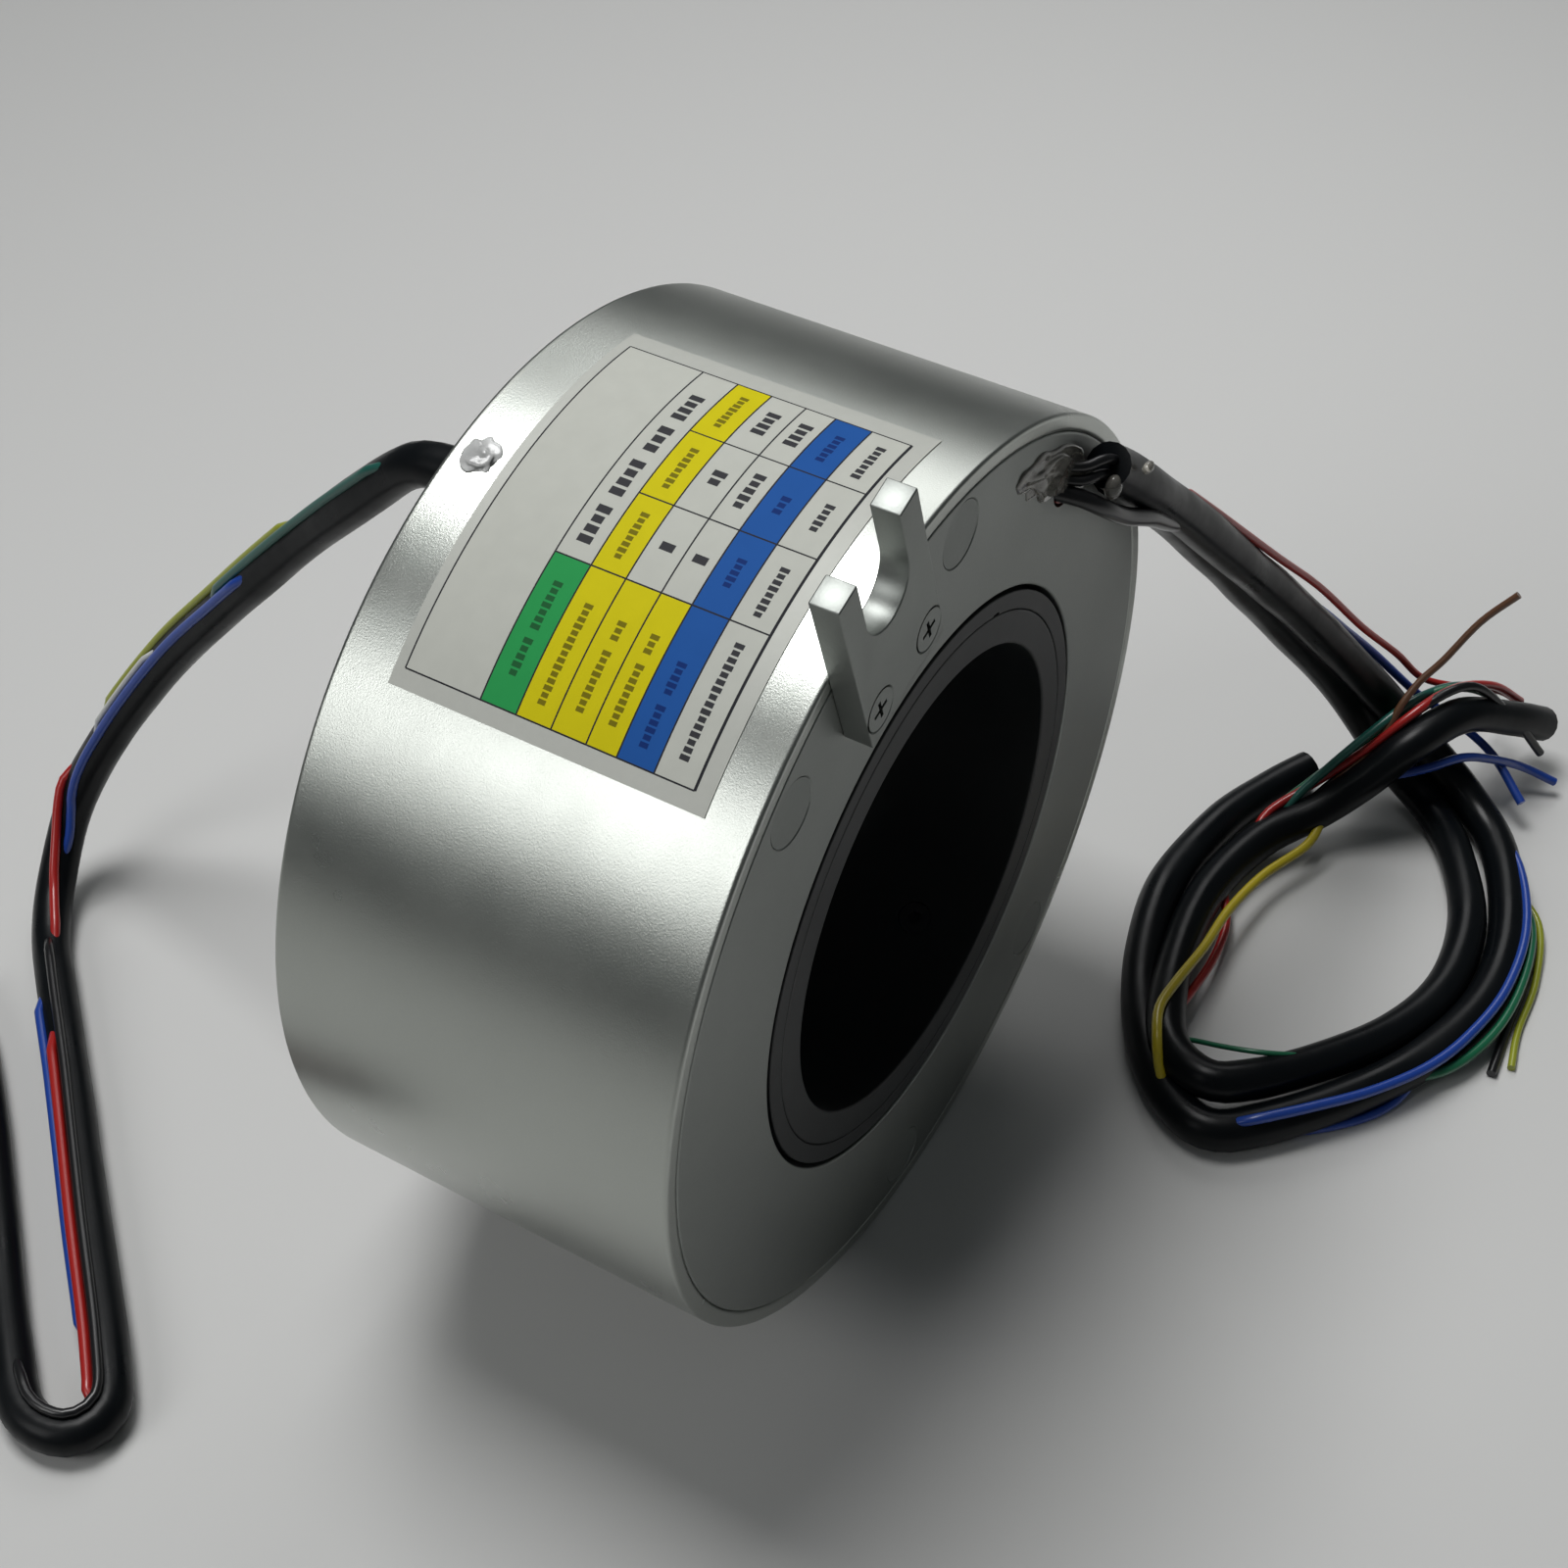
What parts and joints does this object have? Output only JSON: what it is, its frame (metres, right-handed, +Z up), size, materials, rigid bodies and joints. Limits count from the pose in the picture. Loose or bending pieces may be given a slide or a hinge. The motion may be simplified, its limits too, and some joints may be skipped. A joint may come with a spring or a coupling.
{
  "type": "through-bore slip ring",
  "caption": "Through-bore electrical slip ring: a round aluminium housing with a fork tab, a black hollow rotor, and a bundled wire lead at each end.",
  "frame": {"origin": "on the spin axis, at the front face", "axes": "+Y along the spin axis from the front face to the rear, +Z up, +X to the right seen from the front"},
  "size_m": [0.2622, 0.239, 0.1493],
  "materials": {
    "satin_aluminium": "bead-blasted satin",
    "cap_aluminium": "fine satin",
    "tab_aluminium": "satin, milled edges",
    "spacer_aluminium": "turned",
    "black_anodised": "black anodised satin",
    "dark_steel": "blackened",
    "bright_steel": "plated",
    "bearing_steel": "ground",
    "gold_brass": "polished, gold plated",
    "filler": "smoothed filler",
    "label": "printed film",
    "board_green": "glass-fibre board",
    "cage_resin": "moulded",
    "seal_rubber": "moulded",
    "wire_jacket": "extruded",
    "clear_glue": "cast, glossy",
    "black_glue": "cast",
    "lead_jacket": "smooth sleeve",
    "insulator_resin": "machined"
  },
  "bodies": {
    "stator": {"housing": "satin_aluminium", "front_cap": "cap_aluminium", "rear_cap": "cap_aluminium", "torque_tab": "tab_aluminium", "tie_screws": "dark_steel", "screw_fillers": "filler", "side_filler": "filler", "tab_screws": "bright_steel", "label_plate": "label", "brush_block_top": "board_green", "brush_block_bottom": "board_green", "spacers_front": "spacer_aluminium", "spacers_rear": "spacer_aluminium", "brush_pair_1": "gold_brass", "brush_pair_2": "gold_brass", "brush_pair_3": "gold_brass", "brush_pair_4": "gold_brass", "brush_pair_5": "gold_brass", "brush_pair_6": "gold_brass", "brush_pair_7": "gold_brass", "front_outer_race": "bearing_steel", "rear_outer_race": "bearing_steel", "front_seal": "seal_rubber", "rear_seal": "seal_rubber", "stator_wiring": "wire_jacket", "stator_lead_glue": "clear_glue", "stator_lead": "lead_jacket", "stator_lead_loop": "lead_jacket", "stator_lead_tail": "lead_jacket"},
    "rotor": {"rotor_sleeve": "black_anodised", "front_collar": "black_anodised", "bore_screws": "dark_steel", "end_washers": "spacer_aluminium", "contact_ring_1": "gold_brass", "contact_ring_2": "gold_brass", "contact_ring_3": "gold_brass", "contact_ring_4": "gold_brass", "contact_ring_5": "gold_brass", "contact_ring_6": "gold_brass", "contact_ring_7": "gold_brass", "insulator_1": "insulator_resin", "insulator_2": "insulator_resin", "insulator_3": "insulator_resin", "insulator_4": "insulator_resin", "insulator_5": "insulator_resin", "insulator_6": "insulator_resin", "insulator_7": "insulator_resin", "insulator_8": "insulator_resin", "front_inner_race": "bearing_steel", "rear_inner_race": "bearing_steel", "rotor_wiring": "wire_jacket", "set_screws": "bright_steel", "rotor_lead_glue": "black_glue", "rotor_lead": "lead_jacket", "rotor_lead_hank": "lead_jacket"},
    "front_bearing": {"front_cage": "cage_resin", "front_balls": "bearing_steel"},
    "rear_bearing": {"rear_cage": "cage_resin", "rear_balls": "bearing_steel"}
  },
  "joints": [
    {"name": "rotor_spin", "type": "hinge", "parent": "stator", "child": "rotor", "pos_m": [0, 0.03, 0], "axis": [0, 1, 0], "continuous": true},
    {"name": "front_bearing_spin", "type": "hinge", "parent": "stator", "child": "front_bearing", "pos_m": [0, 0.019, 0], "axis": [0, 1, 0], "continuous": true},
    {"name": "rear_bearing_spin", "type": "hinge", "parent": "stator", "child": "rear_bearing", "pos_m": [0, 0.053, 0], "axis": [0, 1, 0], "continuous": true}
  ],
  "couplings": [
    {"joint": "front_bearing_spin", "follows": "rotor_spin", "ratio": 0.46667},
    {"joint": "rear_bearing_spin", "follows": "rotor_spin", "ratio": 0.46667}
  ]
}
